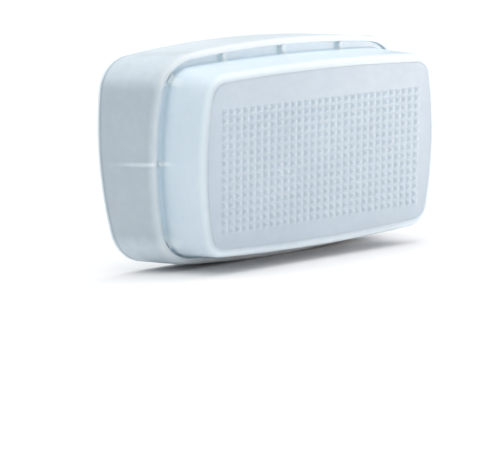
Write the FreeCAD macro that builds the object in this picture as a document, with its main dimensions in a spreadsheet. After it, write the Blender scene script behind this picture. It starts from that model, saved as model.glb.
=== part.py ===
import FreeCAD, Part
import math
import os
import Sketcher

# Push-on diffuser cap for a compact shoe-mount flash, in millimetres.
# The origin is the centre of the mouth. The sleeve runs along Y from the mouth (y = 0)
# towards the front (-Y), Z is up. The front panel and everything on the diffuser box are
# raked: the top of the panel leans forward of its bottom.

doc = FreeCAD.newDocument("flash_diffuser_cap")

DIMENSIONS = {
    # rake of the front panel against the sleeve axis, degrees
    "rake": 8.0,
    # centre of the prism field, from the centre of the mouth
    "panel_distance": 31.4,
    "panel_drop": 2.5,
    # sleeve, outer sizes at the mouth and at the lip
    "mouth_half_width": 38.9,
    "mouth_half_height": 25.2,
    "mouth_side_bow": 86.0,
    "mouth_top_bow": 229.0,
    "mouth_corner": 8.6,
    "mouth_wall": 1.5,
    "mouth_round": 0.5,
    "lip_half_width": 35.65,
    "lip_half_height": 25.0,
    "lip_side_bow": 81.5,
    "lip_top_bow": 255.0,
    "lip_corner": 9.8,
    "lip_wall": 0.9,
    "lip_round": 1.2,
    "lip_depth": 14.9,
    "lip_width": 1.5,
    "lip_thickness": 1.0,
    # rib at mid height on each side of the sleeve: it rises from the wall towards the lip
    "rib_from_mouth": 4.5,
    "rib_from_lip": 0.9,
    "rib_width": 1.1,
    "rib_height": 0.35,
    # diffuser box, outer sizes at the front edge and at the flange
    "box_wall": 1.5,
    "box_front_half_width": 33.2,
    "box_front_half_height": 20.8,
    "box_front_rise": 1.1,
    "box_back_half_width": 32.4,
    "box_back_half_height": 21.9,
    "box_back_drop": 0.5,
    "box_side_bow": 84.0,
    "box_top_bow": 435.0,
    "box_corner": 5.2,
    "box_round": 1.7,
    "flange_thickness": 1.5,
    "flange_gap": 0.25,
    "cove_round": 0.5,
    # bars across the strip between the box wall and the lip
    "bridge_spacing": 16.4,
    "bridge_shortening": 0.5,
    "bridge_width": 1.2,
    "corner_web_width": 1.6,
    "corner_web_angle": 31.0,
    "corner_web_reach": 36.0,
    # prism window and its rebate in the front frame
    "frame_width": 1.9,
    "fit_gap": 0.08,
    "window_thickness": 1.2,
    "ledge_width": 1.3,
    "ledge_thickness": 0.9,
    "prism_pitch": 1.85,
    "prism_height": 0.65,
    "prism_columns": 30.0,
    "prism_rows": 15.0,
    "prism_flat": 0.12,
}

dims = doc.addObject("Spreadsheet::Sheet", "dims")
for row, (alias, number) in enumerate(DIMENSIONS.items(), start=1):
    dims.set("A" + str(row), alias)
    dims.set("B" + str(row), str(number))
    dims.setAlias("B" + str(row), alias)
doc.recompute()


def new_body(label):
    body = doc.addObject("PartDesign::Body", label)
    body.Label = label
    return body


def origin_plane(body, role):
    return next(item for item in body.Origin.OriginFeatures if item.Role == role)


def new_sketch(body, name, plane="XZ_Plane", forward="0", up="0", tilt="0"):
    """A sketch parallel to an origin plane, moved along its normal and up, then tilted."""
    sketch = body.newObject("Sketcher::SketchObject", name)
    sketch.AttachmentSupport = [(origin_plane(body, plane), "")]
    sketch.MapMode = "FlatFace"
    sketch.AttachmentOffset = FreeCAD.Placement(
        FreeCAD.Vector(0, 0, 0), FreeCAD.Rotation(FreeCAD.Vector(1, 0, 0), 1))
    sketch.setExpression(".AttachmentOffset.Base.y", up)
    sketch.setExpression(".AttachmentOffset.Base.z", forward)
    sketch.setExpression(".AttachmentOffset.Rotation.Angle", tilt)
    return sketch


def named_constraint(sketch, name, expression, *arguments):
    index = sketch.addConstraint(Sketcher.Constraint(*arguments, sketch.evalExpression(expression)))
    sketch.renameConstraint(index, name)
    sketch.setExpression("Constraints." + name, expression)


def corner_centre(half_width, half_height, side_bow, top_bow, corner):
    """Centre of the corner arc that touches the bowed side and the bowed top from inside."""
    side = FreeCAD.Vector(half_width - side_bow, 0, 0)
    top = FreeCAD.Vector(0, half_height - top_bow, 0)
    to_side = side_bow - corner
    to_top = top_bow - corner
    between = top - side
    along = (to_side ** 2 - to_top ** 2 + between.Length ** 2) / (2 * between.Length)
    across = math.sqrt(to_side ** 2 - along ** 2)
    axis = FreeCAD.Vector(between).normalize()
    normal = FreeCAD.Vector(-axis.y, axis.x, 0)
    choices = [side + axis * along + normal * across * sign for sign in (1, -1)]
    return max(choices, key=lambda point: point.x + point.y), side, top


def bowed_outline(sketch, half_width, half_height, side_bow, top_bow, corner):
    """A rounded rectangle with bowed sides, centred on the sketch origin."""
    numbers = [float(sketch.evalExpression(text))
               for text in (half_width, half_height, side_bow, top_bow, corner)]
    centre, side, top = corner_centre(*numbers)
    first = math.atan2(centre.y - side.y, centre.x - side.x)
    second = math.atan2(centre.y - top.y, centre.x - top.x)
    turns = [
        (side, numbers[2], -first, first),
        (centre, numbers[4], first, second),
        (top, numbers[3], second, math.pi - second),
        (FreeCAD.Vector(-centre.x, centre.y, 0), numbers[4], math.pi - second, math.pi - first),
        (-side, numbers[2], math.pi - first, math.pi + first),
        (-centre, numbers[4], math.pi + first, math.pi + second),
        (-top, numbers[3], math.pi + second, 2 * math.pi - second),
        (FreeCAD.Vector(centre.x, -centre.y, 0), numbers[4], -second, -first),
    ]
    upright = FreeCAD.Vector(0, 0, 1)
    for middle, radius, start, end in turns:
        sketch.addGeometry(Part.ArcOfCircle(Part.Circle(middle, upright, radius), start, end))
    for arc in range(8):
        sketch.addConstraint(Sketcher.Constraint("Tangent", arc, 2, (arc + 1) % 8, 1))
    for arc, partner in ((0, 4), (2, 6), (1, 3), (1, 5), (1, 7)):
        sketch.addConstraint(Sketcher.Constraint("Equal", arc, partner))
    for arc, axis in ((0, -1), (4, -1), (2, -2), (6, -2)):
        sketch.addConstraint(Sketcher.Constraint("PointOnObject", arc, 3, axis))
    named_constraint(sketch, "side_bow", side_bow, "Radius", 0)
    named_constraint(sketch, "top_bow", top_bow, "Radius", 2)
    named_constraint(sketch, "corner", corner, "Radius", 1)
    from_side = side_bow + " - (" + half_width + ")"
    from_top = top_bow + " - (" + half_height + ")"
    named_constraint(sketch, "right", from_side, "DistanceX", 0, 3, -1, 1)
    named_constraint(sketch, "left", from_side, "DistanceX", -1, 1, 4, 3)
    named_constraint(sketch, "top", from_top, "DistanceY", 2, 3, -1, 1)
    named_constraint(sketch, "bottom", from_top, "DistanceY", -1, 1, 6, 3)


def outline(sketch, part, inset="0"):
    """The bowed outline of one named station, moved inwards by the inset."""
    half_width = "dims.{0}_half_width - {1}".format(part, inset)
    half_height = "dims.{0}_half_height - {1}".format(part, inset)
    family = part if part in ("mouth", "lip") else "box"
    side_bow = "dims.{0}_side_bow - {1}".format(family, inset)
    top_bow = "dims.{0}_top_bow - {1}".format(family, inset)
    corner = "dims.{0}_corner - {1}".format(family, inset)
    bowed_outline(sketch, half_width, half_height, side_bow, top_bow, corner)


def loft(body, kind, name, first, second):
    feature = body.newObject("PartDesign::" + kind + "Loft", name)
    feature.Profile = first
    feature.Sections = [second]
    feature.Ruled = True
    return feature


def straight(body, kind, name, sketch, length, both_ways=False):
    """A pad towards the front of its sketch, or a pocket that cuts backwards from it."""
    feature = body.newObject("PartDesign::" + kind, name)
    feature.Profile = sketch
    feature.Midplane = both_ways
    feature.setExpression("Length", length)
    return feature


def rectangle(sketch, width, height, angle="90", shift="0"):
    """A bar of the given width and height, turned by an angle and shifted sideways."""
    size_x = float(sketch.evalExpression(height)) / 2
    size_y = float(sketch.evalExpression(width)) / 2
    turn = FreeCAD.Rotation(FreeCAD.Vector(0, 0, 1), float(sketch.evalExpression(angle)))
    middle = FreeCAD.Vector(float(sketch.evalExpression(shift)), 0, 0)
    corners = [middle + turn.multVec(FreeCAD.Vector(size_x * along, size_y * across, 0))
               for along, across in ((-1, -1), (1, -1), (1, 1), (-1, 1))]
    for corner in range(4):
        sketch.addGeometry(Part.LineSegment(corners[corner], corners[(corner + 1) % 4]))
    centre = sketch.addGeometry(Part.Point(middle))
    sketch.toggleConstruction(centre)
    for side in range(4):
        sketch.addConstraint(Sketcher.Constraint("Coincident", side, 2, (side + 1) % 4, 1))
    sketch.addConstraint(Sketcher.Constraint("Parallel", 0, 2))
    sketch.addConstraint(Sketcher.Constraint("Parallel", 1, 3))
    sketch.addConstraint(Sketcher.Constraint("Perpendicular", 0, 1))
    sketch.addConstraint(Sketcher.Constraint("Symmetric", 0, 1, 2, 1, centre, 1))
    sketch.addConstraint(Sketcher.Constraint("PointOnObject", centre, 1, -1))
    named_constraint(sketch, "bar_length", height, "Distance", 0, 1, 0, 2)
    named_constraint(sketch, "bar_width", width, "Distance", 1, 1, 1, 2)
    named_constraint(sketch, "bar_shift", shift, "DistanceX", -1, 1, centre, 1)
    bar_angle = sketch.addConstraint(
        Sketcher.Constraint("Angle", 0, math.radians(float(sketch.evalExpression(angle)))))
    sketch.renameConstraint(bar_angle, "bar_angle")
    sketch.setExpression("Constraints.bar_angle", angle + " * 1 deg")


SAME_PLANE = 0.01


def edges_on_plane(shape, point, normal, inner=False):
    """Names of the edges in one plane: all of them, or those inside the face that lies there."""
    rims = []
    for face in shape.Faces:
        flat = abs((face.CenterOfMass - point).dot(normal)) < SAME_PLANE
        if inner and flat and len(face.Wires) > 1:
            rims = [edge.hashCode() for edge in face.OuterWire.Edges]
    names = []
    for number, edge in enumerate(shape.Edges, start=1):
        ends = [edge.valueAt(value) for value in (edge.FirstParameter, edge.LastParameter)]
        ends.append(edge.CenterOfMass)
        if edge.hashCode() in rims:
            continue
        if all(abs((end - point).dot(normal)) < SAME_PLANE for end in ends):
            names.append("Edge" + str(number))
    return names


def raked(depth):
    """Where a sketch goes, in the sleeve's frame, for a depth behind the raked panel."""
    forward = "dims.panel_distance - ({0}) * cos(dims.rake * 1 deg)".format(depth)
    up = "-dims.panel_drop + ({0}) * sin(dims.rake * 1 deg)".format(depth)
    return {"forward": forward, "up": up, "tilt": "dims.rake"}


FLANGE_DEPTH = "dims.lip_depth + dims.lip_thickness"
BACK_DEPTH = FLANGE_DEPTH + " + dims.flange_thickness"
LEDGE_BACK = "dims.window_thickness + dims.ledge_thickness"
FIELD_WIDTH = "dims.prism_pitch * dims.prism_columns"
FIELD_HEIGHT = "dims.prism_pitch * dims.prism_rows"
FRONT = FreeCAD.Vector(0, -1, 0)
# how much a side of the sleeve widens for each millimetre towards the mouth
SIDE_WIDENING = "(dims.mouth_half_width - dims.lip_half_width)"
SIDE_SLOPE = SIDE_WIDENING + " / (dims.panel_distance - dims.lip_depth)"


def round_edges(body, name, point, normal, radius, inner=False):
    """Rounds the edges that lie in one plane of the body as it is so far."""
    doc.recompute()
    base = body.Tip
    fillet = body.newObject("PartDesign::Fillet", name)
    fillet.Base = (base, edges_on_plane(base.Shape, point, normal, inner))
    fillet.setExpression("Radius", radius)


def make_sleeve():
    """The collar that slides over the flash head, with an inward lip at its front."""
    body = new_body("mounting_sleeve")
    on_lip = raked("dims.lip_depth")
    mouth = new_sketch(body, "mouth_outline")
    outline(mouth, "mouth")
    lip = new_sketch(body, "lip_outline", **on_lip)
    outline(lip, "lip")
    loft(body, "Additive", "outer_shape", mouth, lip)
    doc.recompute()
    towards_front = lip.Placement.Rotation.multVec(FreeCAD.Vector(0, 0, 1))
    round_edges(body, "lip_rounding", lip.Placement.Base, towards_front, "dims.lip_round")
    round_edges(body, "mouth_rounding", mouth.Placement.Base, FRONT, "dims.mouth_round")

    rib_back = new_sketch(body, "side_rib_back", forward="dims.rib_from_mouth")
    flush = "2 * (dims.mouth_half_width - dims.rib_from_mouth * {0})".format(SIDE_SLOPE)
    rectangle(rib_back, "dims.rib_width", flush, "0")
    rib_front = new_sketch(body, "side_rib_front", **raked("dims.lip_depth + dims.rib_from_lip"))
    raised = "2 * (dims.lip_half_width + dims.rib_from_lip * {0} + dims.rib_height)".format(SIDE_SLOPE)
    rectangle(rib_front, "dims.rib_width", raised, "0")
    loft(body, "Additive", "side_ribs", rib_back, rib_front)

    pocket_mouth = new_sketch(body, "head_pocket_mouth")
    outline(pocket_mouth, "mouth", "dims.mouth_wall")
    pocket_end = new_sketch(body, "head_pocket_end", **raked(FLANGE_DEPTH))
    outline(pocket_end, "lip", "dims.lip_wall")
    loft(body, "Subtractive", "head_pocket", pocket_mouth, pocket_end)

    opening = new_sketch(body, "lip_opening_outline", **on_lip)
    outline(opening, "lip", "dims.lip_width")
    straight(body, "Pocket", "lip_opening", opening, "2 * dims.lip_thickness")
    return body


def lean_forward(body):
    """Puts a body into the raked frame, whose origin is the centre of the prism field."""
    body.Placement = FreeCAD.Placement(
        FreeCAD.Vector(0, 0, 0), FreeCAD.Rotation(FreeCAD.Vector(1, 0, 0), 1))
    body.setExpression(".Placement.Base.y", "-dims.panel_distance")
    body.setExpression(".Placement.Base.z", "-dims.panel_drop")
    body.setExpression(".Placement.Rotation.Angle", "dims.rake")


def add_bridges(body):
    """Bars on the flange that cross the strip. The hollow, cut later, leaves their outer ends."""
    gap = "dims.fit_gap"
    upright = "2 * (dims.lip_half_height - dims.lip_width - {0})".format(gap)
    level = "2 * (dims.lip_half_width - dims.lip_width - {0})".format(gap)
    off_centre = upright + " - 2 * dims.bridge_shortening"
    corner = "2 * dims.corner_web_reach"
    bars = [
        ("left_bridges", "dims.bridge_width", off_centre, "90", "-dims.bridge_spacing"),
        ("middle_bridges", "dims.bridge_width", upright, "90", "0"),
        ("right_bridges", "dims.bridge_width", off_centre, "90", "dims.bridge_spacing"),
        ("side_bridges", "dims.bridge_width", level, "0", "0"),
        ("rising_corner_webs", "dims.corner_web_width", corner, "dims.corner_web_angle", "0"),
        ("falling_corner_webs", "dims.corner_web_width", corner, "-dims.corner_web_angle", "0"),
    ]
    for name, width, length, angle, shift in bars:
        sketch = new_sketch(body, name + "_outline", forward="-(" + FLANGE_DEPTH + ")")
        rectangle(sketch, width, length, angle, shift)
        straight(body, "Pad", name, sketch, "dims.lip_thickness")


def make_box():
    """The box in front of the flash head: walls, front frame with a rebate, rear flange."""
    body = new_body("diffuser_box")
    lean_forward(body)
    front = new_sketch(body, "front_outline", up="dims.box_front_rise")
    outline(front, "box_front")
    back_place = {"forward": "-(" + FLANGE_DEPTH + ")", "up": "-dims.box_back_drop"}
    back = new_sketch(body, "back_outline", **back_place)
    outline(back, "box_back")
    loft(body, "Additive", "outer_shape", back, front)
    round_edges(body, "frame_rounding", front.Placement.Base, FRONT, "dims.box_round")

    flange = new_sketch(body, "flange_outline", forward="-(" + BACK_DEPTH + ")")
    outline(flange, "lip", "(dims.lip_wall + dims.flange_gap)")
    straight(body, "Pad", "flange", flange, "dims.flange_thickness")
    round_edges(body, "cove", back.Placement.Base, FRONT, "dims.cove_round", inner=True)
    add_bridges(body)

    room_back = new_sketch(body, "room_back", forward="-(" + BACK_DEPTH + ")", up="-dims.box_back_drop")
    outline(room_back, "box_back", "dims.box_wall")
    room_front = new_sketch(body, "room_front", forward="-(" + LEDGE_BACK + ")", up="dims.box_front_rise")
    outline(room_front, "box_front", "dims.box_wall")
    loft(body, "Subtractive", "room", room_back, room_front)

    rebate = new_sketch(body, "rebate_outline", up="dims.box_front_rise")
    outline(rebate, "box_front", "dims.frame_width")
    straight(body, "Pocket", "rebate", rebate, "dims.window_thickness")
    light_opening = new_sketch(body, "light_opening_outline", up="dims.box_front_rise")
    outline(light_opening, "box_front", "(dims.frame_width + dims.ledge_width)")
    straight(body, "Pocket", "light_opening", light_opening, LEDGE_BACK)
    return body


def make_window():
    """The front panel: a flat plate with a field of small square pyramids on its face."""
    body = new_body("prism_window")
    lean_forward(body)
    plate_place = {"forward": "-dims.window_thickness", "up": "dims.box_front_rise"}
    plate = new_sketch(body, "plate_outline", **plate_place)
    outline(plate, "box_front", "(dims.frame_width + dims.fit_gap)")
    straight(body, "Pad", "plate", plate, "dims.window_thickness")

    field = new_sketch(body, "field_outline")
    rectangle(field, FIELD_HEIGHT, FIELD_WIDTH, "0")
    straight(body, "Pad", "field", field, "dims.prism_height")
    add_grooves(body, "upright_grooves", "XY_Plane", FIELD_WIDTH, "dims.prism_columns", FIELD_HEIGHT)
    add_grooves(body, "level_grooves", "YZ_Plane", FIELD_HEIGHT, "dims.prism_rows", FIELD_WIDTH)
    return body


def add_grooves(body, name, plane, span, count, length):
    """V grooves between the pyramids: the first at one edge of the field, then repeated."""
    sketch = new_sketch(body, name + "_profile", plane=plane)
    level = plane == "YZ_Plane"
    place = "(" + span + ") / 2"
    width = "dims.prism_pitch - dims.prism_flat"
    depth = "dims.prism_height"
    start, half, deep = [float(sketch.evalExpression(text)) for text in (place, width, depth)]
    profile = [(-start, 0), (-start - half / 2, -deep), (-start + half / 2, -deep)]
    points = [FreeCAD.Vector(out, along, 0) if level else FreeCAD.Vector(along, out, 0)
              for along, out in profile]
    for corner in range(3):
        sketch.addGeometry(Part.LineSegment(points[corner], points[(corner + 1) % 3]))
    for side in range(3):
        sketch.addConstraint(Sketcher.Constraint("Coincident", side, 2, (side + 1) % 3, 1))
    sketch.addConstraint(Sketcher.Constraint("Equal", 0, 2))
    sketch.addConstraint(Sketcher.Constraint("PointOnObject", 0, 1, -2 if level else -1))
    sketch.addConstraint(Sketcher.Constraint("Vertical" if level else "Horizontal", 1))
    along, out = ("DistanceY", "DistanceX") if level else ("DistanceX", "DistanceY")
    named_constraint(sketch, "first_place", place, along, 0, 1, -1, 1)
    named_constraint(sketch, "groove_width", width, along, 1, 1, 1, 2)
    named_constraint(sketch, "groove_depth", depth, out, 1, 1, 0, 1)
    groove = straight(body, "Pocket", name + "_first", sketch, length + " + 1", both_ways=True)
    pattern = body.newObject("PartDesign::LinearPattern", name)
    pattern.Originals = [groove]
    pattern.Direction = (sketch, ["V_Axis" if level else "H_Axis"])
    pattern.setExpression("Length", span)
    pattern.setExpression("Occurrences", count + " + 1")
    body.Tip = pattern


def check_and_write(bodies):
    doc.recompute()
    for item in doc.Objects:
        if "Invalid" in item.State or "Error" in item.State:
            raise RuntimeError(item.Name + " is in state " + str(item.State))
    os.makedirs("parts", exist_ok=True)
    for body in bodies:
        if body.Shape.isNull() or not body.Shape.isValid():
            raise RuntimeError(body.Label + " has no valid shape")
        body.Shape.exportStep("parts/" + body.Label + ".step")


check_and_write([make_sleeve(), make_box(), make_window()])
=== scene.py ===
import collections
import math

import bmesh
import bpy
from mathutils import Matrix, Vector


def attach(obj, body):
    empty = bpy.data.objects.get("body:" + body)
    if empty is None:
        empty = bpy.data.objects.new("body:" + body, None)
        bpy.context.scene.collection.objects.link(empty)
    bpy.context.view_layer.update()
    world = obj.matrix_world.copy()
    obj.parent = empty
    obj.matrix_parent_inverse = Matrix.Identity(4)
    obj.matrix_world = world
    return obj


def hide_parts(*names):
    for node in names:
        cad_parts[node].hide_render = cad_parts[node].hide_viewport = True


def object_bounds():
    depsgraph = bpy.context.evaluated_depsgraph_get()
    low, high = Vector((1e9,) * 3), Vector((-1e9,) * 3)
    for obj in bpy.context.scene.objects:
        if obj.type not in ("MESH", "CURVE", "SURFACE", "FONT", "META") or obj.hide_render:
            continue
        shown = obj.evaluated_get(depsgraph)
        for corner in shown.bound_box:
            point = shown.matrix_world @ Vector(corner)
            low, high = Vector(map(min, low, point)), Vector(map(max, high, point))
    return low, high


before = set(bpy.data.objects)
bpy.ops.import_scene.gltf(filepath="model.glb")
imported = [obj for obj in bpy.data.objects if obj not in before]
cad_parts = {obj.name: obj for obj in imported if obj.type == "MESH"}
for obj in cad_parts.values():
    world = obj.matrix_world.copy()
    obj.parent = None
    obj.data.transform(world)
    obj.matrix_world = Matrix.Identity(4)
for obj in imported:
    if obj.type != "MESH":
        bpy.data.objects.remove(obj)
cad_low, cad_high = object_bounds()

# Shape values are in millimetres, as in the CAD model. Every object is in metres.
MM = 0.001

# The raked frame of the box: its origin is the centre of the prism field.
RAKE_TURN = Matrix.Rotation(math.radians(8.0), 3, "X")
PANEL_CENTRE = Vector((0.0, -31.4, -2.5))
FORWARD = RAKE_TURN @ Vector((0.0, -1.0, 0.0))

# A ring is a closed row of points round the cap, each with its tone of painted light and shade
# there.
Ring = collections.namedtuple("Ring", "points tones")

# A rounded rectangle: its half sizes, and the radii of its bowed sides and of its corners.
Outline = collections.namedtuple("Outline", "half_width half_height side_bow top_bow corner")
MOUTH = Outline(38.9, 25.2, 86.0, 229.0, 8.6)
LIP = Outline(35.65, 25.0, 81.5, 255.0, 9.8)
BOX_FRONT = Outline(33.2, 20.8, 84.0, 435.0, 5.2)
BOX_BACK = Outline(32.4, 21.9, 84.0, 435.0, 5.2)
FRONT_RISE = 1.1
BACK_RISE = -0.5

# Points along a quarter of an outline, and round an edge
SIDE_STEPS = 10
CORNER_STEPS = 12
TOP_STEPS = 16
ROUND_STEPS = 6
RIM_STEPS = 4
SOFT_STEPS = 3
SEAM_STEPS = 2

# Sleeve. A groove ring is its distance from the rim, its depth and its tone. The other
# stations are shares: from the seat to the rim inside, and from the lip to the rim outside.
MOUTH_WALL = 1.5
MOUTH_ROUND = 0.5
INNER_RIM_ROUND = 0.35
GROOVE_DEPTH = 0.18
# The groove rings are painted darker, as painted shade in the groove, and the ring by the bead
# pale, as a painted highlight.
RIM_GROOVE = (
    (0.8, 0.0, 0.8),
    (1.0, GROOVE_DEPTH, 0.2),
    (1.4, GROOVE_DEPTH, 0.3),
    (1.8, 0.0, 0.5),
    (2.6, 0.0, 0.5),
)
POCKET_STATIONS = (0.0, 0.35, 0.7)
LIP_DEPTH = 14.9
LIP_WIDTH = 1.5
LIP_WALL = 0.9
LIP_THICKNESS = 1.0
LIP_ROUND = 1.2
LIP_SOFTNESS = 1.8
SOFT_EDGE = 0.2

# Side ribs: places of their points along the side, their section there, and their stations
RIB_HEIGHT = 0.3
# RIB_TONE paints the side rib paler along its line, a painted highlight.
RIB_TONE = 0.22
RIB_POINTS = (0.0, 0.2, 0.36, 0.5, 0.62, 0.78, 1.1)
RIB_PROFILE = (1.0, 0.88, 0.55, 0.2, 0.04, 0.0, 0.0)
RIB_STATIONS = (0.78, 0.64, 0.5, 0.36, 0.22)

# Box
FLANGE_DEPTH = LIP_DEPTH + LIP_THICKNESS
FLANGE_THICKNESS = 1.5
FLANGE_GAP = 0.25
COVE_ROUND = 0.5
BOX_WALL = 1.5
BOX_ROUND = 1.7
WALL_STATION = 0.6
FRAME_WIDTH = 1.9
LEDGE_WIDTH = 1.3
LEDGE_THICKNESS = 0.9

# Bars across the sunk strip, and webs at its corners. Both end just short of the lip.
BAR_GAP = 0.02
BAR_SPACING = 16.4
BAR_WIDTH = 0.9
BAR_SOFT = 0.35
BAR_FLARE = 0.3
BAR_FOOT = 0.5
BAR_IN_WALL = 0.5
BAR_STATIONS = (0.0, 0.06, 0.94, 1.0)
WEB_WIDTH = 2.0
WEB_ANGLE = math.radians(31.0)
WEB_REACH = 36.25
WEB_LENGTH = 2.6

# Prism window. A pyramid's ring is its width and height as shares of the pyramid, and its tone: the
# tones paint each pyramid pale at its foot and tip and darker on its flanks, as painted highlights
# and painted shade.
WINDOW_THICKNESS = 1.2
WINDOW_GAP = 0.01
SEAM_EDGE = 0.03
PRISM_PITCH = 1.85
PRISM_FLAT = 0.12
PRISM_HALF = (PRISM_PITCH - PRISM_FLAT) / 2
PRISM_HEIGHT = 0.65
PRISM_COLUMNS = 30
PRISM_ROWS = 15
PRISM_RINGS = ((0.90, 0.06, 0.75), (0.76, 0.20, 0.58), (0.11, 0.91, 0.66))
RIDGE_CUT = 0.05
RIDGE_CUT_SHARE = 0.4
TIP_LIFT = 0.97

# Tones from the darkest (DEEP) through the plain plastic (BODY) to the palest (PALE). Most of them
# are painted light
# and shade: the seam round the window is painted dark, as painted shade; the flange is painted
# paler to lift the shade in the sunk strip; the lip and box edges, bars, rim bead and ribs are
# painted pale, as painted highlights;
# and the corners, top and underside are painted paler than the sides.
DEEP = 0.05
BODY = 0.5
PALE = 1.0
INNER_TONE = 0.85
FLANGE_TONE = 0.68
# TIP_TONE and LINE_TONE paint the pyramid tips and the lines between pyramids pale, as painted
# highlights.
TIP_TONE = 0.8
LINE_TONE = 0.55
# LIP_TONES paint the lip's rounded front edge paler towards its face, a painted highlight.
LIP_TONES = (0.5, 0.52, 0.58, 0.68, 0.8, 0.85, 0.8)
BOX_EDGE_TONES = (0.15, 0.4, 0.68, 0.75, 0.62, 0.5, 0.5)
EDGE_FADE = 0.6
CORNER_TONE = 0.2
TOP_TONE = 0.38
BEND_FADE = 3

# Mesh clean-up
WELD_DISTANCE = 0.002
SHADING_WEIGHT = 60

# Plastics: colours by tone, roughness, strength of the grain and depth of the subsurface light
Plastic = collections.namedtuple("Plastic", "deep body pale roughness grain softness")
# The sleeve, box and window are one milky plastic: the sleeve's colours are painted greyer and the
# window's darker than the box's, as painted shade.
SLEEVE_PLASTIC = Plastic(
    (0.39, 0.45, 0.50), (0.485, 0.555, 0.61), (0.78, 0.87, 0.93), 0.40, 0.35, 2.2)
BOX_PLASTIC = Plastic(
    (0.48, 0.59, 0.69), (0.665, 0.775, 0.865), (0.82, 0.93, 0.98), 0.38, 0.35, 2.2)
WINDOW_PLASTIC = Plastic(
    (0.40, 0.49, 0.56), (0.463, 0.56, 0.643), (0.67, 0.765, 0.825), 0.40, 0.30, 0.3)
SCUFFS = 0.1
SMOOTHER = 0.06
ROUGHER = 0.08
GRAIN_DEPTH = 0.02
FLOW_DEPTH = 0.12
FLOW_STRENGTH = 0.25
CLOUD_COLOURS = ((0.3, (0.95, 0.955, 0.96)), (0.7, (1.0, 1.0, 1.0)))
FLOOR_COLOURS = ((0.3, (0.90, 0.90, 0.90)), (0.7, (0.93, 0.93, 0.93)))

# Noise in object space, where a scale counts features per metre
Noise = collections.namedtuple("Noise", "scale detail roughness")
SCUFF_NOISE = Noise(420.0, 4.0, 0.65)
CLOUD_NOISE = Noise(55.0, 3.0, 0.5)
GLOSS_NOISE = Noise(160.0, 5.0, 0.6)
GRAIN_NOISE = Noise(2600.0, 2.0, 0.5)
FLOW_NOISE = Noise(90.0, 2.0, 0.5)
FLOOR_NOISE = Noise(6.0, 3.0, 0.5)

# Stage, in metres. The sky has an even light, and it grows brighter between two heights.
FLOOR_HALF = 12.0
SKY_STRENGTH = 0.1
SkyBand = collections.namedtuple("SkyBand", "low high strength")
SKY_BANDS = (SkyBand(0.0, 1.0, 1.28), SkyBand(0.5, 1.0, 0.55))
Lamp = collections.namedtuple("Lamp", "name offset size power colour")
LAMPS = (
    Lamp("right_light", (0.17, -0.1825, 0.015), 0.08, 0.285, (1.0, 0.83, 0.75)),
    Lamp("left_light", (-0.72, 0.24, 0.24), 0.25, 0.05, (0.62, 0.83, 1.0)),
)
CAMERA_PLACE = Vector((-308.5, -429.54, 40.31))
CAMERA_AZIMUTH = math.radians(35.8)
CAMERA_ELEVATION = math.radians(6.5)
CAMERA_ROLL = math.radians(4.33)
CAMERA_LENS = 164.4
CAMERA_SENSOR = 36.0
CAMERA_CLIP = 0.01


# ---------------------------------------------------------------- outlines and rings

def inset(outline, amount):
    return Outline(*(value - amount for value in outline))


def arc_points(centre, radius, start, end, steps):
    """Points along an arc, without its last point."""
    turns = [start + (end - start) * step / steps for step in range(steps)]
    return [centre + radius * Vector((math.cos(turn), math.sin(turn))) for turn in turns]


def outline_points(outline):
    """Points round a rounded rectangle with bowed sides, from the middle of its right side."""
    side = Vector((outline.half_width - outline.side_bow, 0.0))
    top = Vector((0.0, outline.half_height - outline.top_bow))
    to_side = outline.side_bow - outline.corner
    to_top = outline.top_bow - outline.corner
    between = top - side
    along = (to_side ** 2 - to_top ** 2 + between.length_squared) / (2 * between.length)
    across = math.sqrt(to_side ** 2 - along ** 2)
    axis = between.normalized()
    normal = Vector((-axis.y, axis.x))
    corner = max((side + axis * along + normal * across * sign for sign in (1, -1)), key=sum)
    first = math.atan2(corner.y - side.y, corner.x - side.x)
    second = math.atan2(corner.y - top.y, corner.x - top.x)
    turns = [point / outline.side_bow for point in RIB_POINTS]
    quarter = [side + outline.side_bow * Vector((math.cos(turn), math.sin(turn))) for turn in turns]
    quarter += arc_points(side, outline.side_bow, 2 * turns[-1], first, SIDE_STEPS)
    quarter += arc_points(corner, outline.corner, first, second, CORNER_STEPS)
    quarter += arc_points(top, outline.top_bow, second, math.pi / 2, TOP_STEPS)
    quarter.append(Vector((0.0, outline.half_height)))
    upper_left = [Vector((-point.x, point.y)) for point in reversed(quarter[:-1])]
    half = quarter + upper_left
    lower = [Vector((point.x, -point.y)) for point in reversed(half[1:-1])]
    return half + lower


def raked(x, depth, z):
    """A point of the raked frame, in the row frame and in metres."""
    return MM * (RAKE_TURN @ Vector((x, depth, z)) + PANEL_CENTRE)


def raked_ring(outline, depth, rise=0.0):
    return [raked(point.x, depth, point.y + rise) for point in outline_points(outline)]


def upright_ring(outline, y):
    return [MM * Vector((point.x, y, point.y)) for point in outline_points(outline)]


def mixed(first, second, share):
    return [a.lerp(b, share) for a, b in zip(first, second)]


def moved(points, target, distance):
    """Each point, moved by a distance towards its partner in the target."""
    return [a + (b - a).normalized() * distance * MM for a, b in zip(points, target)]


def toned(points, tone):
    return Ring(points, [tone] * len(points))


def rounding(radius, steps=ROUND_STEPS):
    """Inset and setback of the rings round an edge, from its wall to its face."""
    turns = [math.pi / 2 * step / steps for step in range(steps + 1)]
    return [(radius * (1 - math.cos(turn)), radius * (1 - math.sin(turn))) for turn in turns]


def from_face(radius, steps=ROUND_STEPS):
    return reversed(rounding(radius, steps))


# ---------------------------------------------------------------- meshes

def mesh_object(name, bm):
    bmesh.ops.recalc_face_normals(bm, faces=bm.faces)
    mesh = bpy.data.meshes.new(name)
    bm.to_mesh(mesh)
    bm.free()
    piece = bpy.data.objects.new(name, mesh)
    bpy.context.scene.collection.objects.link(piece)
    return piece


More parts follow.
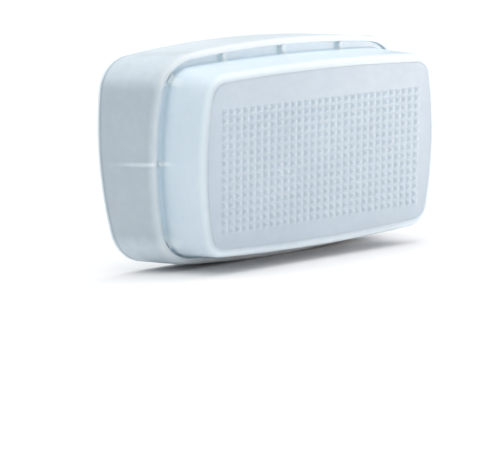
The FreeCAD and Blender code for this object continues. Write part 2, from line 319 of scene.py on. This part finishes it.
def add_ring(bm, ring):
    layer = bm.verts.layers.float.get("tone") or bm.verts.layers.float.new("tone")
    loop = []
    for point, tone in zip(ring.points, ring.tones):
        vertex = bm.verts.new(point)
        vertex[layer] = tone
        loop.append(vertex)
    return loop


def join_rings(bm, first, second):
    count = len(first)
    for index in range(count):
        after = (index + 1) % count
        bm.faces.new((first[index], first[after], second[after], second[index]))


def closed_shell(name, rings):
    """A hollow frame: rings joined in turn, and the last one joined to the first."""
    bm = bmesh.new()
    loops = [add_ring(bm, ring) for ring in rings]
    for number, loop in enumerate(loops):
        join_rings(bm, loop, loops[(number + 1) % len(loops)])
    return mesh_object(name, bm)


def unite(piece, bm):
    """Adds the solids of a second mesh to a piece, as one closed surface. They come out painted
    pale, a painted highlight.
    """
    tool = mesh_object(piece.name + "_bars", bm)
    union = piece.modifiers.new("bars", "BOOLEAN")
    union.operation = "UNION"
    union.solver = "EXACT"
    union.object = tool
    evaluated = piece.evaluated_get(bpy.context.evaluated_depsgraph_get())
    united = bpy.data.meshes.new_from_object(evaluated)
    for mark in united.attributes["tone"].data:
        mark.value = mark.value if mark.value > DEEP / 2 else PALE
    piece.modifiers.clear()
    piece.data = united
    bpy.data.objects.remove(tool)


def finish_surface(piece, material):
    mesh = piece.data
    bm = bmesh.new()
    bm.from_mesh(mesh)
    bmesh.ops.remove_doubles(bm, verts=bm.verts, dist=WELD_DISTANCE * MM)
    for face in bm.faces:
        face.smooth = True
    bm.to_mesh(mesh)
    bm.free()
    weighted = piece.modifiers.new("even_shading", "WEIGHTED_NORMAL")
    weighted.weight = SHADING_WEIGHT
    mesh.materials.clear()
    mesh.materials.append(material)


# ---------------------------------------------------------------- sleeve

def lip_rounding():
    """The rings from the sleeve's outer wall over its soft front edge, painted paler towards the
    face as a painted highlight.
    """
    rings = []
    for (amount, back), tone in zip(rounding(LIP_ROUND), LIP_TONES):
        lip = raked_ring(inset(LIP, amount), LIP_DEPTH)
        mouth = upright_ring(inset(MOUTH, amount), 0.0)
        rings.append(toned(moved(lip, mouth, back * LIP_SOFTNESS), tone))
    return rings


def sleeve_rings():
    """Once round the sleeve's section: lip, lip opening, seat, pocket wall, rim, outer wall."""
    rings = lip_rounding()
    # The lip's inner edge is painted pale, a painted highlight.
    for amount, back in from_face(SOFT_EDGE, SOFT_STEPS):
        rings.append(toned(raked_ring(inset(LIP, LIP_WIDTH - amount), LIP_DEPTH + back), PALE))
    rings.append(toned(raked_ring(inset(LIP, LIP_WIDTH), FLANGE_DEPTH), INNER_TONE))
    seat = raked_ring(inset(LIP, LIP_WALL), FLANGE_DEPTH)
    rim = upright_ring(inset(MOUTH, MOUTH_WALL), 0.0)
    rings += [toned(mixed(seat, rim, share), INNER_TONE) for share in POCKET_STATIONS]
    # The inner rim and the bead round the mouth are painted pale, as painted highlights.
    for amount, back in rounding(INNER_RIM_ROUND, RIM_STEPS):
        inner = upright_ring(inset(MOUTH, MOUTH_WALL - amount), 0.0)
        rings.append(toned(moved(inner, seat, back), PALE))
    outer_lip = raked_ring(LIP, LIP_DEPTH)
    for amount, back in from_face(MOUTH_ROUND, RIM_STEPS):
        bead = moved(upright_ring(inset(MOUTH, amount), 0.0), outer_lip, back)
        rings.append(toned(bead, PALE))
    for distance, depth, tone in RIM_GROOVE:
        groove = moved(upright_ring(inset(MOUTH, depth), 0.0), outer_lip, distance)
        rings.append(toned(groove, tone))
    outer_mouth = upright_ring(MOUTH, 0.0)
    rings += [toned(mixed(outer_lip, outer_mouth, share), BODY) for share in RIB_STATIONS]
    for ring in rings:
        pale_bends(ring)
    raise_side_ribs(rings)
    return rings


def pale_bends(ring):
    """Painted light: the corners, the top and the underside are painted paler than the sides."""
    half = len(ring.points) // 2
    corner_start = len(RIB_POINTS) + SIDE_STEPS
    for index in range(len(ring.points)):
        from_side = min(index % half, half - index % half)
        into_corner = min(max((from_side - corner_start) / BEND_FADE, 0.0), 1.0)
        past_corner = min(max((from_side - corner_start - CORNER_STEPS) / BEND_FADE, 0.0), 1.0)
        paler = CORNER_TONE * into_corner + (TOP_TONE - CORNER_TONE) * past_corner
        ring.tones[index] = min(ring.tones[index] + paler, PALE)


def raise_side_ribs(rings):
    """The rib at mid height of each side. It rises from the wall and runs over the lip."""
    stations = len(RIB_STATIONS)
    crossed = rings[-stations:] + rings[:ROUND_STEPS + 1]
    count = len(rings[0].points)
    for middle, side in ((0, 1), (count // 2, -1)):
        path = [ring.points[middle].copy() for ring in crossed]
        for number, ring in enumerate(crossed):
            along = path[min(number + 1, len(path) - 1)] - path[max(number - 1, 0)]
            outward = side * along.cross(Vector((0.0, 0.0, -1.0))).normalized()
            risen = min(number / (stations - 1), 1.0)
            for offset, profile in enumerate(RIB_PROFILE):
                share = risen * profile
                for index in {(middle + offset) % count, (middle - offset) % count}:
                    ring.points[index] += outward * RIB_HEIGHT * MM * share
                    # The rib is also painted paler here, a painted highlight.
                    ring.tones[index] = min(ring.tones[index] + RIB_TONE * share, PALE)


def make_sleeve(material):
    sleeve = closed_shell("sleeve_shell", sleeve_rings())
    finish_surface(sleeve, material)
    return sleeve


# ---------------------------------------------------------------- box

def box_ring(amount, depth):
    """The box wall at a depth behind the panel, moved inwards by an amount."""
    front = raked_ring(inset(BOX_FRONT, amount), 0.0, FRONT_RISE)
    back = raked_ring(inset(BOX_BACK, amount), FLANGE_DEPTH, BACK_RISE)
    return mixed(front, back, depth / FLANGE_DEPTH)


def box_rings():
    """Once round the box's section: front frame, wall, flange, room, ledge and rebate."""
    flange_inset = LIP_WALL + FLANGE_GAP
    flange_back = FLANGE_DEPTH + FLANGE_THICKNESS
    ledge_back = WINDOW_THICKNESS + LEDGE_THICKNESS
    ledge_inset = FRAME_WIDTH + LEDGE_WIDTH
    rings = []
    # The front edge is painted paler over its rounding, a painted highlight, and darker on the
    # frame face beside the seam, as painted shade.
    for (amount, back), tone in zip(from_face(BOX_ROUND), BOX_EDGE_TONES):
        rings.append(toned(box_ring(amount, back), tone))
    for depth in (BOX_ROUND + EDGE_FADE, FLANGE_DEPTH * WALL_STATION):
        rings.append(toned(box_ring(0.0, depth), BODY))
    # The cove and the flange front in the sunk strip are painted paler, painted light that lifts
    # the shade in the strip.
    for amount, back in rounding(COVE_ROUND, RIM_STEPS):
        rings.append(toned(box_ring(-amount, FLANGE_DEPTH - back), FLANGE_TONE))
    for amount, back in from_face(SOFT_EDGE, SOFT_STEPS):
        flange = raked_ring(inset(LIP, flange_inset + amount), FLANGE_DEPTH + back)
        rings.append(toned(flange, FLANGE_TONE))
    for amount, back in rounding(SOFT_EDGE, SOFT_STEPS):
        flange = raked_ring(inset(LIP, flange_inset + amount), flange_back - back)
        rings.append(toned(flange, INNER_TONE))
    for amount, back in from_face(SOFT_EDGE, SOFT_STEPS):
        room = raked_ring(inset(BOX_BACK, BOX_WALL - amount), flange_back - back, BACK_RISE)
        rings.append(toned(room, INNER_TONE))
    for depth in (FLANGE_DEPTH * WALL_STATION, ledge_back):
        rings.append(toned(box_ring(BOX_WALL, depth), INNER_TONE))
    for depth in (ledge_back, WINDOW_THICKNESS):
        ledge = raked_ring(inset(BOX_FRONT, ledge_inset), depth, FRONT_RISE)
        rings.append(toned(ledge, INNER_TONE))
    # The rebate and the seam round the window are painted dark, as painted shade between box and
    # window.
    rebate = raked_ring(inset(BOX_FRONT, FRAME_WIDTH), WINDOW_THICKNESS, FRONT_RISE)
    rings.append(toned(rebate, DEEP))
    for amount, back in rounding(SEAM_EDGE, SEAM_STEPS):
        seam = raked_ring(inset(BOX_FRONT, FRAME_WIDTH - amount), back, FRONT_RISE)
        rings.append(toned(seam, DEEP))
    return rings


def bow_drop(radius, offset):
    return radius - math.sqrt(radius ** 2 - offset ** 2)


def bar_spans():
    """Inner end, outer end and width of each bar: above, below, beside and at the corners."""
    opening = inset(LIP, LIP_WIDTH + BAR_GAP)
    wall = inset(BOX_BACK, BAR_IN_WALL)
    spans = []
    for side in (-1, 1):
        for place in (-BAR_SPACING, 0.0, BAR_SPACING):
            inner = side * (wall.half_height - bow_drop(wall.top_bow, place)) + BACK_RISE
            outer = side * (opening.half_height - bow_drop(opening.top_bow, place))
            spans.append((Vector((place, inner)), Vector((place, outer)), BAR_WIDTH))
        inner, outer = side * wall.half_width, side * opening.half_width
        spans.append((Vector((inner, 0.0)), Vector((outer, 0.0)), BAR_WIDTH))
        for turn in (WEB_ANGLE, -WEB_ANGLE):
            ray = Vector((side * math.cos(turn), math.sin(turn)))
            spans.append((ray * (WEB_REACH - WEB_LENGTH), ray * WEB_REACH, WEB_WIDTH))
    return spans


def add_bar(bm, inner, outer, width):
    """A bar with a rounded top and sloping flanks. Its foot is sunk into the flange."""
    places = [inner.lerp(outer, share) for share in BAR_STATIONS]
    path = [raked(place.x, FLANGE_DEPTH, place.y) for place in places]
    across = (path[-1] - path[0]).cross(FORWARD).normalized()
    half, foot = width / 2, width / 2 + BAR_FLARE
    profile = [(-foot, -BAR_FOOT), (-foot, 0.0)]
    for amount, back in rounding(BAR_SOFT, RIM_STEPS):
        profile.append((amount - half, LIP_THICKNESS - back))
    for amount, back in from_face(BAR_SOFT, RIM_STEPS):
        profile.append((half - amount, LIP_THICKNESS - back))
    profile += [(foot, 0.0), (foot, -BAR_FOOT)]
    loops = []
    for point in path:
        section = [point + MM * (across * out + FORWARD * rise) for out, rise in profile]
        # The bars are painted pale all over, a painted highlight.
        loops.append(add_ring(bm, toned(section, PALE)))
    for first, second in zip(loops, loops[1:]):
        join_rings(bm, first, second)
    bm.faces.new(loops[0])
    bm.faces.new(loops[-1])


def make_box(material):
    box = closed_shell("box_shell", box_rings())
    bars = bmesh.new()
    for inner, outer, width in bar_spans():
        add_bar(bars, inner, outer, width)
    unite(box, bars)
    finish_surface(box, material)
    return box


# ---------------------------------------------------------------- window

def pyramid_ring(centre, share, lift):
    """A square round a pyramid, with its corners cut off where the ridges are softened."""
    reach = PRISM_HALF * share
    cut = min(RIDGE_CUT, reach * RIDGE_CUT_SHARE)
    points = []
    for index, (x, z) in enumerate(((-1, -1), (1, -1), (1, 1), (-1, 1))):
        pair = [(x * reach, z * (reach - cut)), (x * (reach - cut), z * reach)]
        if index % 2:
            pair.reverse()
        for out, up in pair:
            points.append(raked(centre.x + out, -PRISM_HEIGHT * lift, centre.y + up))
    return points


def add_pyramid(bm, base, centre):
    """A square pyramid with softened ridges and tip on the four corners of its base."""
    loops = []
    # Each ring and the tip are painted in their tones, painted light and shade over the pyramid.
    for share, lift, tone in PRISM_RINGS:
        loops.append(add_ring(bm, toned(pyramid_ring(centre, share, lift), tone)))
    peak = raked(centre.x, -PRISM_HEIGHT * TIP_LIFT, centre.y)
    tip = add_ring(bm, toned([peak], TIP_TONE))[0]
    foot, top = loops[0], loops[-1]
    sides, corners = len(base), len(foot)
    for index in range(sides):
        here, after = 2 * index, (2 * index + 2) % corners
        bm.faces.new((base[index], foot[here], foot[here + 1]))
        bm.faces.new((base[index], foot[here + 1], foot[after], base[(index + 1) % sides]))
    for first, second in zip(loops, loops[1:]):
        join_rings(bm, first, second)
    for index in range(corners):
        bm.faces.new((top[index], top[(index + 1) % corners], tip))


def lattice_lines(count):
    """Both edges of each pyramid in a row of them, from one end of the field to the other."""
    middles = [(number - (count - 1) / 2) * PRISM_PITCH for number in range(count)]
    return [middle + side * PRISM_HALF for middle in middles for side in (-1, 1)]


def add_field(bm):
    """The pyramids and the flat lines between them. Returns the vertices round the field."""
    across, upwards = lattice_lines(PRISM_COLUMNS), lattice_lines(PRISM_ROWS)
    grid = []
    for x in across:
        # The lines between pyramids are painted slightly pale, a painted highlight.
        grid.append(add_ring(bm, toned([raked(x, 0.0, z) for z in upwards], LINE_TONE)))
    for column in range(len(across) - 1):
        for row in range(len(upwards) - 1):
            base = [grid[column][row], grid[column + 1][row],
                    grid[column + 1][row + 1], grid[column][row + 1]]
            if column % 2 == 0 and row % 2 == 0:
                centre = Vector((across[column] + PRISM_HALF, upwards[row] + PRISM_HALF))
                add_pyramid(bm, base, centre)
            else:
                bm.faces.new(base)
    bottom = [line[0] for line in grid]
    top = [line[-1] for line in reversed(grid)]
    return bottom + grid[-1][1:-1] + top + grid[0][-2:0:-1]


def loop_edges(bm, loop):
    pairs = zip(loop, loop[1:] + loop[:1])
    return [bm.edges.get(pair) or bm.edges.new(pair) for pair in pairs]


def make_window(material):
    """The front plate, with its field of pyramids on a flat face."""
    outline = inset(BOX_FRONT, FRAME_WIDTH + WINDOW_GAP)
    rings = [toned(raked_ring(inset(outline, EDGE_FADE), 0.0, FRONT_RISE), BODY)]
    for amount, back in from_face(SEAM_EDGE, SEAM_STEPS):
        rings.append(toned(raked_ring(inset(outline, amount), back, FRONT_RISE), BODY))
    for amount, back in rounding(SEAM_EDGE, SEAM_STEPS):
        depth = WINDOW_THICKNESS - back
        rings.append(toned(raked_ring(inset(outline, amount), depth, FRONT_RISE), PALE))
    bm = bmesh.new()
    loops = [add_ring(bm, ring) for ring in rings]
    for first, second in zip(loops, loops[1:]):
        join_rings(bm, first, second)
    bm.faces.new(loops[-1])
    border = add_field(bm)
    edges = loop_edges(bm, loops[0]) + loop_edges(bm, border)
    bmesh.ops.triangle_fill(bm, use_beauty=True, edges=edges)
    window = mesh_object("window_plate", bm)
    finish_surface(window, material)
    return window


# ---------------------------------------------------------------- nodes and materials

def noise(tree, place, kind):
    node = tree.nodes.new("ShaderNodeTexNoise")
    node.inputs["Scale"].default_value = kind.scale
    node.inputs["Detail"].default_value = kind.detail
    node.inputs["Roughness"].default_value = kind.roughness
    tree.links.new(place, node.inputs["Vector"])
    return node.outputs["Fac"]


def spread(tree, value, low, high):
    """A value from 0 to 1, spread over another range."""
    node = tree.nodes.new("ShaderNodeMapRange")
    node.inputs["To Min"].default_value = low
    node.inputs["To Max"].default_value = high
    tree.links.new(value, node.inputs["Value"])
    return node.outputs["Result"]


def total(tree, first, second):
    node = tree.nodes.new("ShaderNodeMath")
    node.operation = "ADD"
    tree.links.new(first, node.inputs[0])
    tree.links.new(second, node.inputs[1])
    return node.outputs["Value"]


def ramp(tree, value, stops):
    node = tree.nodes.new("ShaderNodeValToRGB")
    while len(node.color_ramp.elements) < len(stops):
        node.color_ramp.elements.new(1.0)
    for element, (position, colour) in zip(node.color_ramp.elements, stops):
        element.position = position
        element.color = (*colour, 1.0)
    tree.links.new(value, node.inputs["Fac"])
    return node.outputs["Color"]


def multiplied(tree, first, second):
    node = tree.nodes.new("ShaderNodeMix")
    node.data_type = "RGBA"
    node.blend_type = "MULTIPLY"
    node.inputs["Factor"].default_value = 1.0
    colour_a, colour_b, result = node.inputs[6], node.inputs[7], node.outputs[2]
    tree.links.new(first, colour_a)
    tree.links.new(second, colour_b)
    return result


def bump(tree, height, strength, depth):
    node = tree.nodes.new("ShaderNodeBump")
    node.inputs["Strength"].default_value = strength
    node.inputs["Distance"].default_value = depth * MM
    tree.links.new(height, node.inputs["Height"])
    return node


def milky_plastic(name, plastic):
    """Translucent moulded plastic: cloudy, satin and finely grained, its colour carrying the
    painted light and shade of the tone attribute.
    """
    material = bpy.data.materials.new(name)
    material.use_nodes = True
    tree = material.node_tree
    shader = tree.nodes["Principled BSDF"]
    place = tree.nodes.new("ShaderNodeTexCoord").outputs["Object"]

    # The tone attribute carries painted light and shade; the scuff noise adds random wear on top.
    tone = tree.nodes.new("ShaderNodeAttribute")
    tone.attribute_name = "tone"
    scuffs = spread(tree, noise(tree, place, SCUFF_NOISE), -SCUFFS, SCUFFS)
    painted_light_and_scuffs = total(tree, tone.outputs["Fac"], scuffs)
    stops = ((0.0, plastic.deep), (BODY, plastic.body), (PALE, plastic.pale))
    clouds = ramp(tree, noise(tree, place, CLOUD_NOISE), CLOUD_COLOURS)
    tree.links.new(multiplied(tree, ramp(tree, painted_light_and_scuffs, stops), clouds), shader.inputs["Base Color"])

    gloss = noise(tree, place, GLOSS_NOISE)
    roughness = spread(tree, gloss, plastic.roughness - SMOOTHER, plastic.roughness + ROUGHER)
    tree.links.new(roughness, shader.inputs["Roughness"])

    grained = bump(tree, noise(tree, place, GRAIN_NOISE), plastic.grain, GRAIN_DEPTH)
    flowing = bump(tree, noise(tree, place, FLOW_NOISE), FLOW_STRENGTH, FLOW_DEPTH)
    tree.links.new(grained.outputs["Normal"], flowing.inputs["Normal"])
    tree.links.new(flowing.outputs["Normal"], shader.inputs["Normal"])

    shader.inputs["Subsurface Weight"].default_value = 0.45
    shader.inputs["Subsurface Radius"].default_value = (0.9, 1.0, 1.1)
    shader.inputs["Subsurface Scale"].default_value = plastic.softness * MM
    shader.inputs["IOR"].default_value = 1.5
    shader.inputs["Specular IOR Level"].default_value = 0.45
    return material


def pale_floor():
    material = bpy.data.materials.new("pale_floor")
    material.use_nodes = True
    tree = material.node_tree
    shader = tree.nodes["Principled BSDF"]
    place = tree.nodes.new("ShaderNodeTexCoord").outputs["Object"]
    tint = ramp(tree, noise(tree, place, FLOOR_NOISE), FLOOR_COLOURS)
    tree.links.new(tint, shader.inputs["Base Color"])
    shader.inputs["Roughness"].default_value = 0.9
    shader.inputs["Specular IOR Level"].default_value = 0.1
    return material


# ---------------------------------------------------------------- stage, light and camera

def make_floor(level):
    bm = bmesh.new()
    for x, y in ((-1, -1), (1, -1), (1, 1), (-1, 1)):
        bm.verts.new((x * FLOOR_HALF, y * FLOOR_HALF, level))
    bm.faces.new(bm.verts)
    floor = mesh_object("floor", bm)
    floor.data.materials.append(pale_floor())


def make_world():
    """A soft studio dome of white light, brighter overhead."""
    world = bpy.data.worlds.new("soft_dome")
    bpy.context.scene.world = world
    world.use_nodes = True
    tree = world.node_tree
    background = tree.nodes["Background"]
    background.inputs["Color"].default_value = (1.0, 1.0, 1.0, 1.0)
    direction = tree.nodes.new("ShaderNodeSeparateXYZ")
    place = tree.nodes.new("ShaderNodeTexCoord").outputs["Generated"]
    tree.links.new(place, direction.inputs["Vector"])
    even = tree.nodes.new("ShaderNodeValue").outputs["Value"]
    even.default_value = SKY_STRENGTH
    strength = even
    for band in SKY_BANDS:
        node = tree.nodes.new("ShaderNodeMapRange")
        node.interpolation_type = "SMOOTHSTEP"
        node.inputs["From Min"].default_value = band.low
        node.inputs["From Max"].default_value = band.high
        node.inputs["To Max"].default_value = band.strength
        tree.links.new(direction.outputs["Z"], node.inputs["Value"])
        strength = total(tree, strength, node.outputs["Result"])
    tree.links.new(strength, background.inputs["Strength"])


def make_lamp(lamp, middle):
    data = bpy.data.lights.new(lamp.name, "AREA")
    data.shape = "SQUARE"
    data.size = lamp.size
    data.energy = lamp.power
    data.color = lamp.colour
    light = bpy.data.objects.new(lamp.name, data)
    offset = Vector(lamp.offset)
    light.location = middle + offset
    light.rotation_euler = (-offset).to_track_quat("-Z", "Y").to_euler()
    bpy.context.scene.collection.objects.link(light)


def make_camera():
    """Seen from the front left and a little above, with a slight roll."""
    lens = bpy.data.cameras.new("camera")
    lens.lens = CAMERA_LENS
    lens.sensor_width = CAMERA_SENSOR
    lens.clip_start = CAMERA_CLIP
    camera = bpy.data.objects.new("camera", lens)
    turn = Matrix.Rotation(-CAMERA_AZIMUTH, 4, "Z")
    tilt = Matrix.Rotation(math.pi / 2 - CAMERA_ELEVATION, 4, "X")
    camera.matrix_world = turn @ tilt @ Matrix.Rotation(-CAMERA_ROLL, 4, "Z")
    camera.location = MM * CAMERA_PLACE
    bpy.context.scene.collection.objects.link(camera)
    bpy.context.scene.camera = camera


# ---------------------------------------------------------------- the scene

sleeve = make_sleeve(milky_plastic("sleeve_plastic", SLEEVE_PLASTIC))
box = make_box(milky_plastic("box_plastic", BOX_PLASTIC))
window = make_window(milky_plastic("window_plastic", WINDOW_PLASTIC))

for piece, node, slot in (
        (sleeve, "mounting_sleeve", "milky_plastic"),
        (box, "diffuser_box", "milky_plastic"),
        (window, "prism_window", "prism_plastic")):
    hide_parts(node)
    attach(piece, "root")

make_floor(cad_low.z)
make_world()
for lamp in LAMPS:
    make_lamp(lamp, (cad_low + cad_high) / 2)
make_camera()
bpy.context.scene.view_settings.view_transform = "Standard"
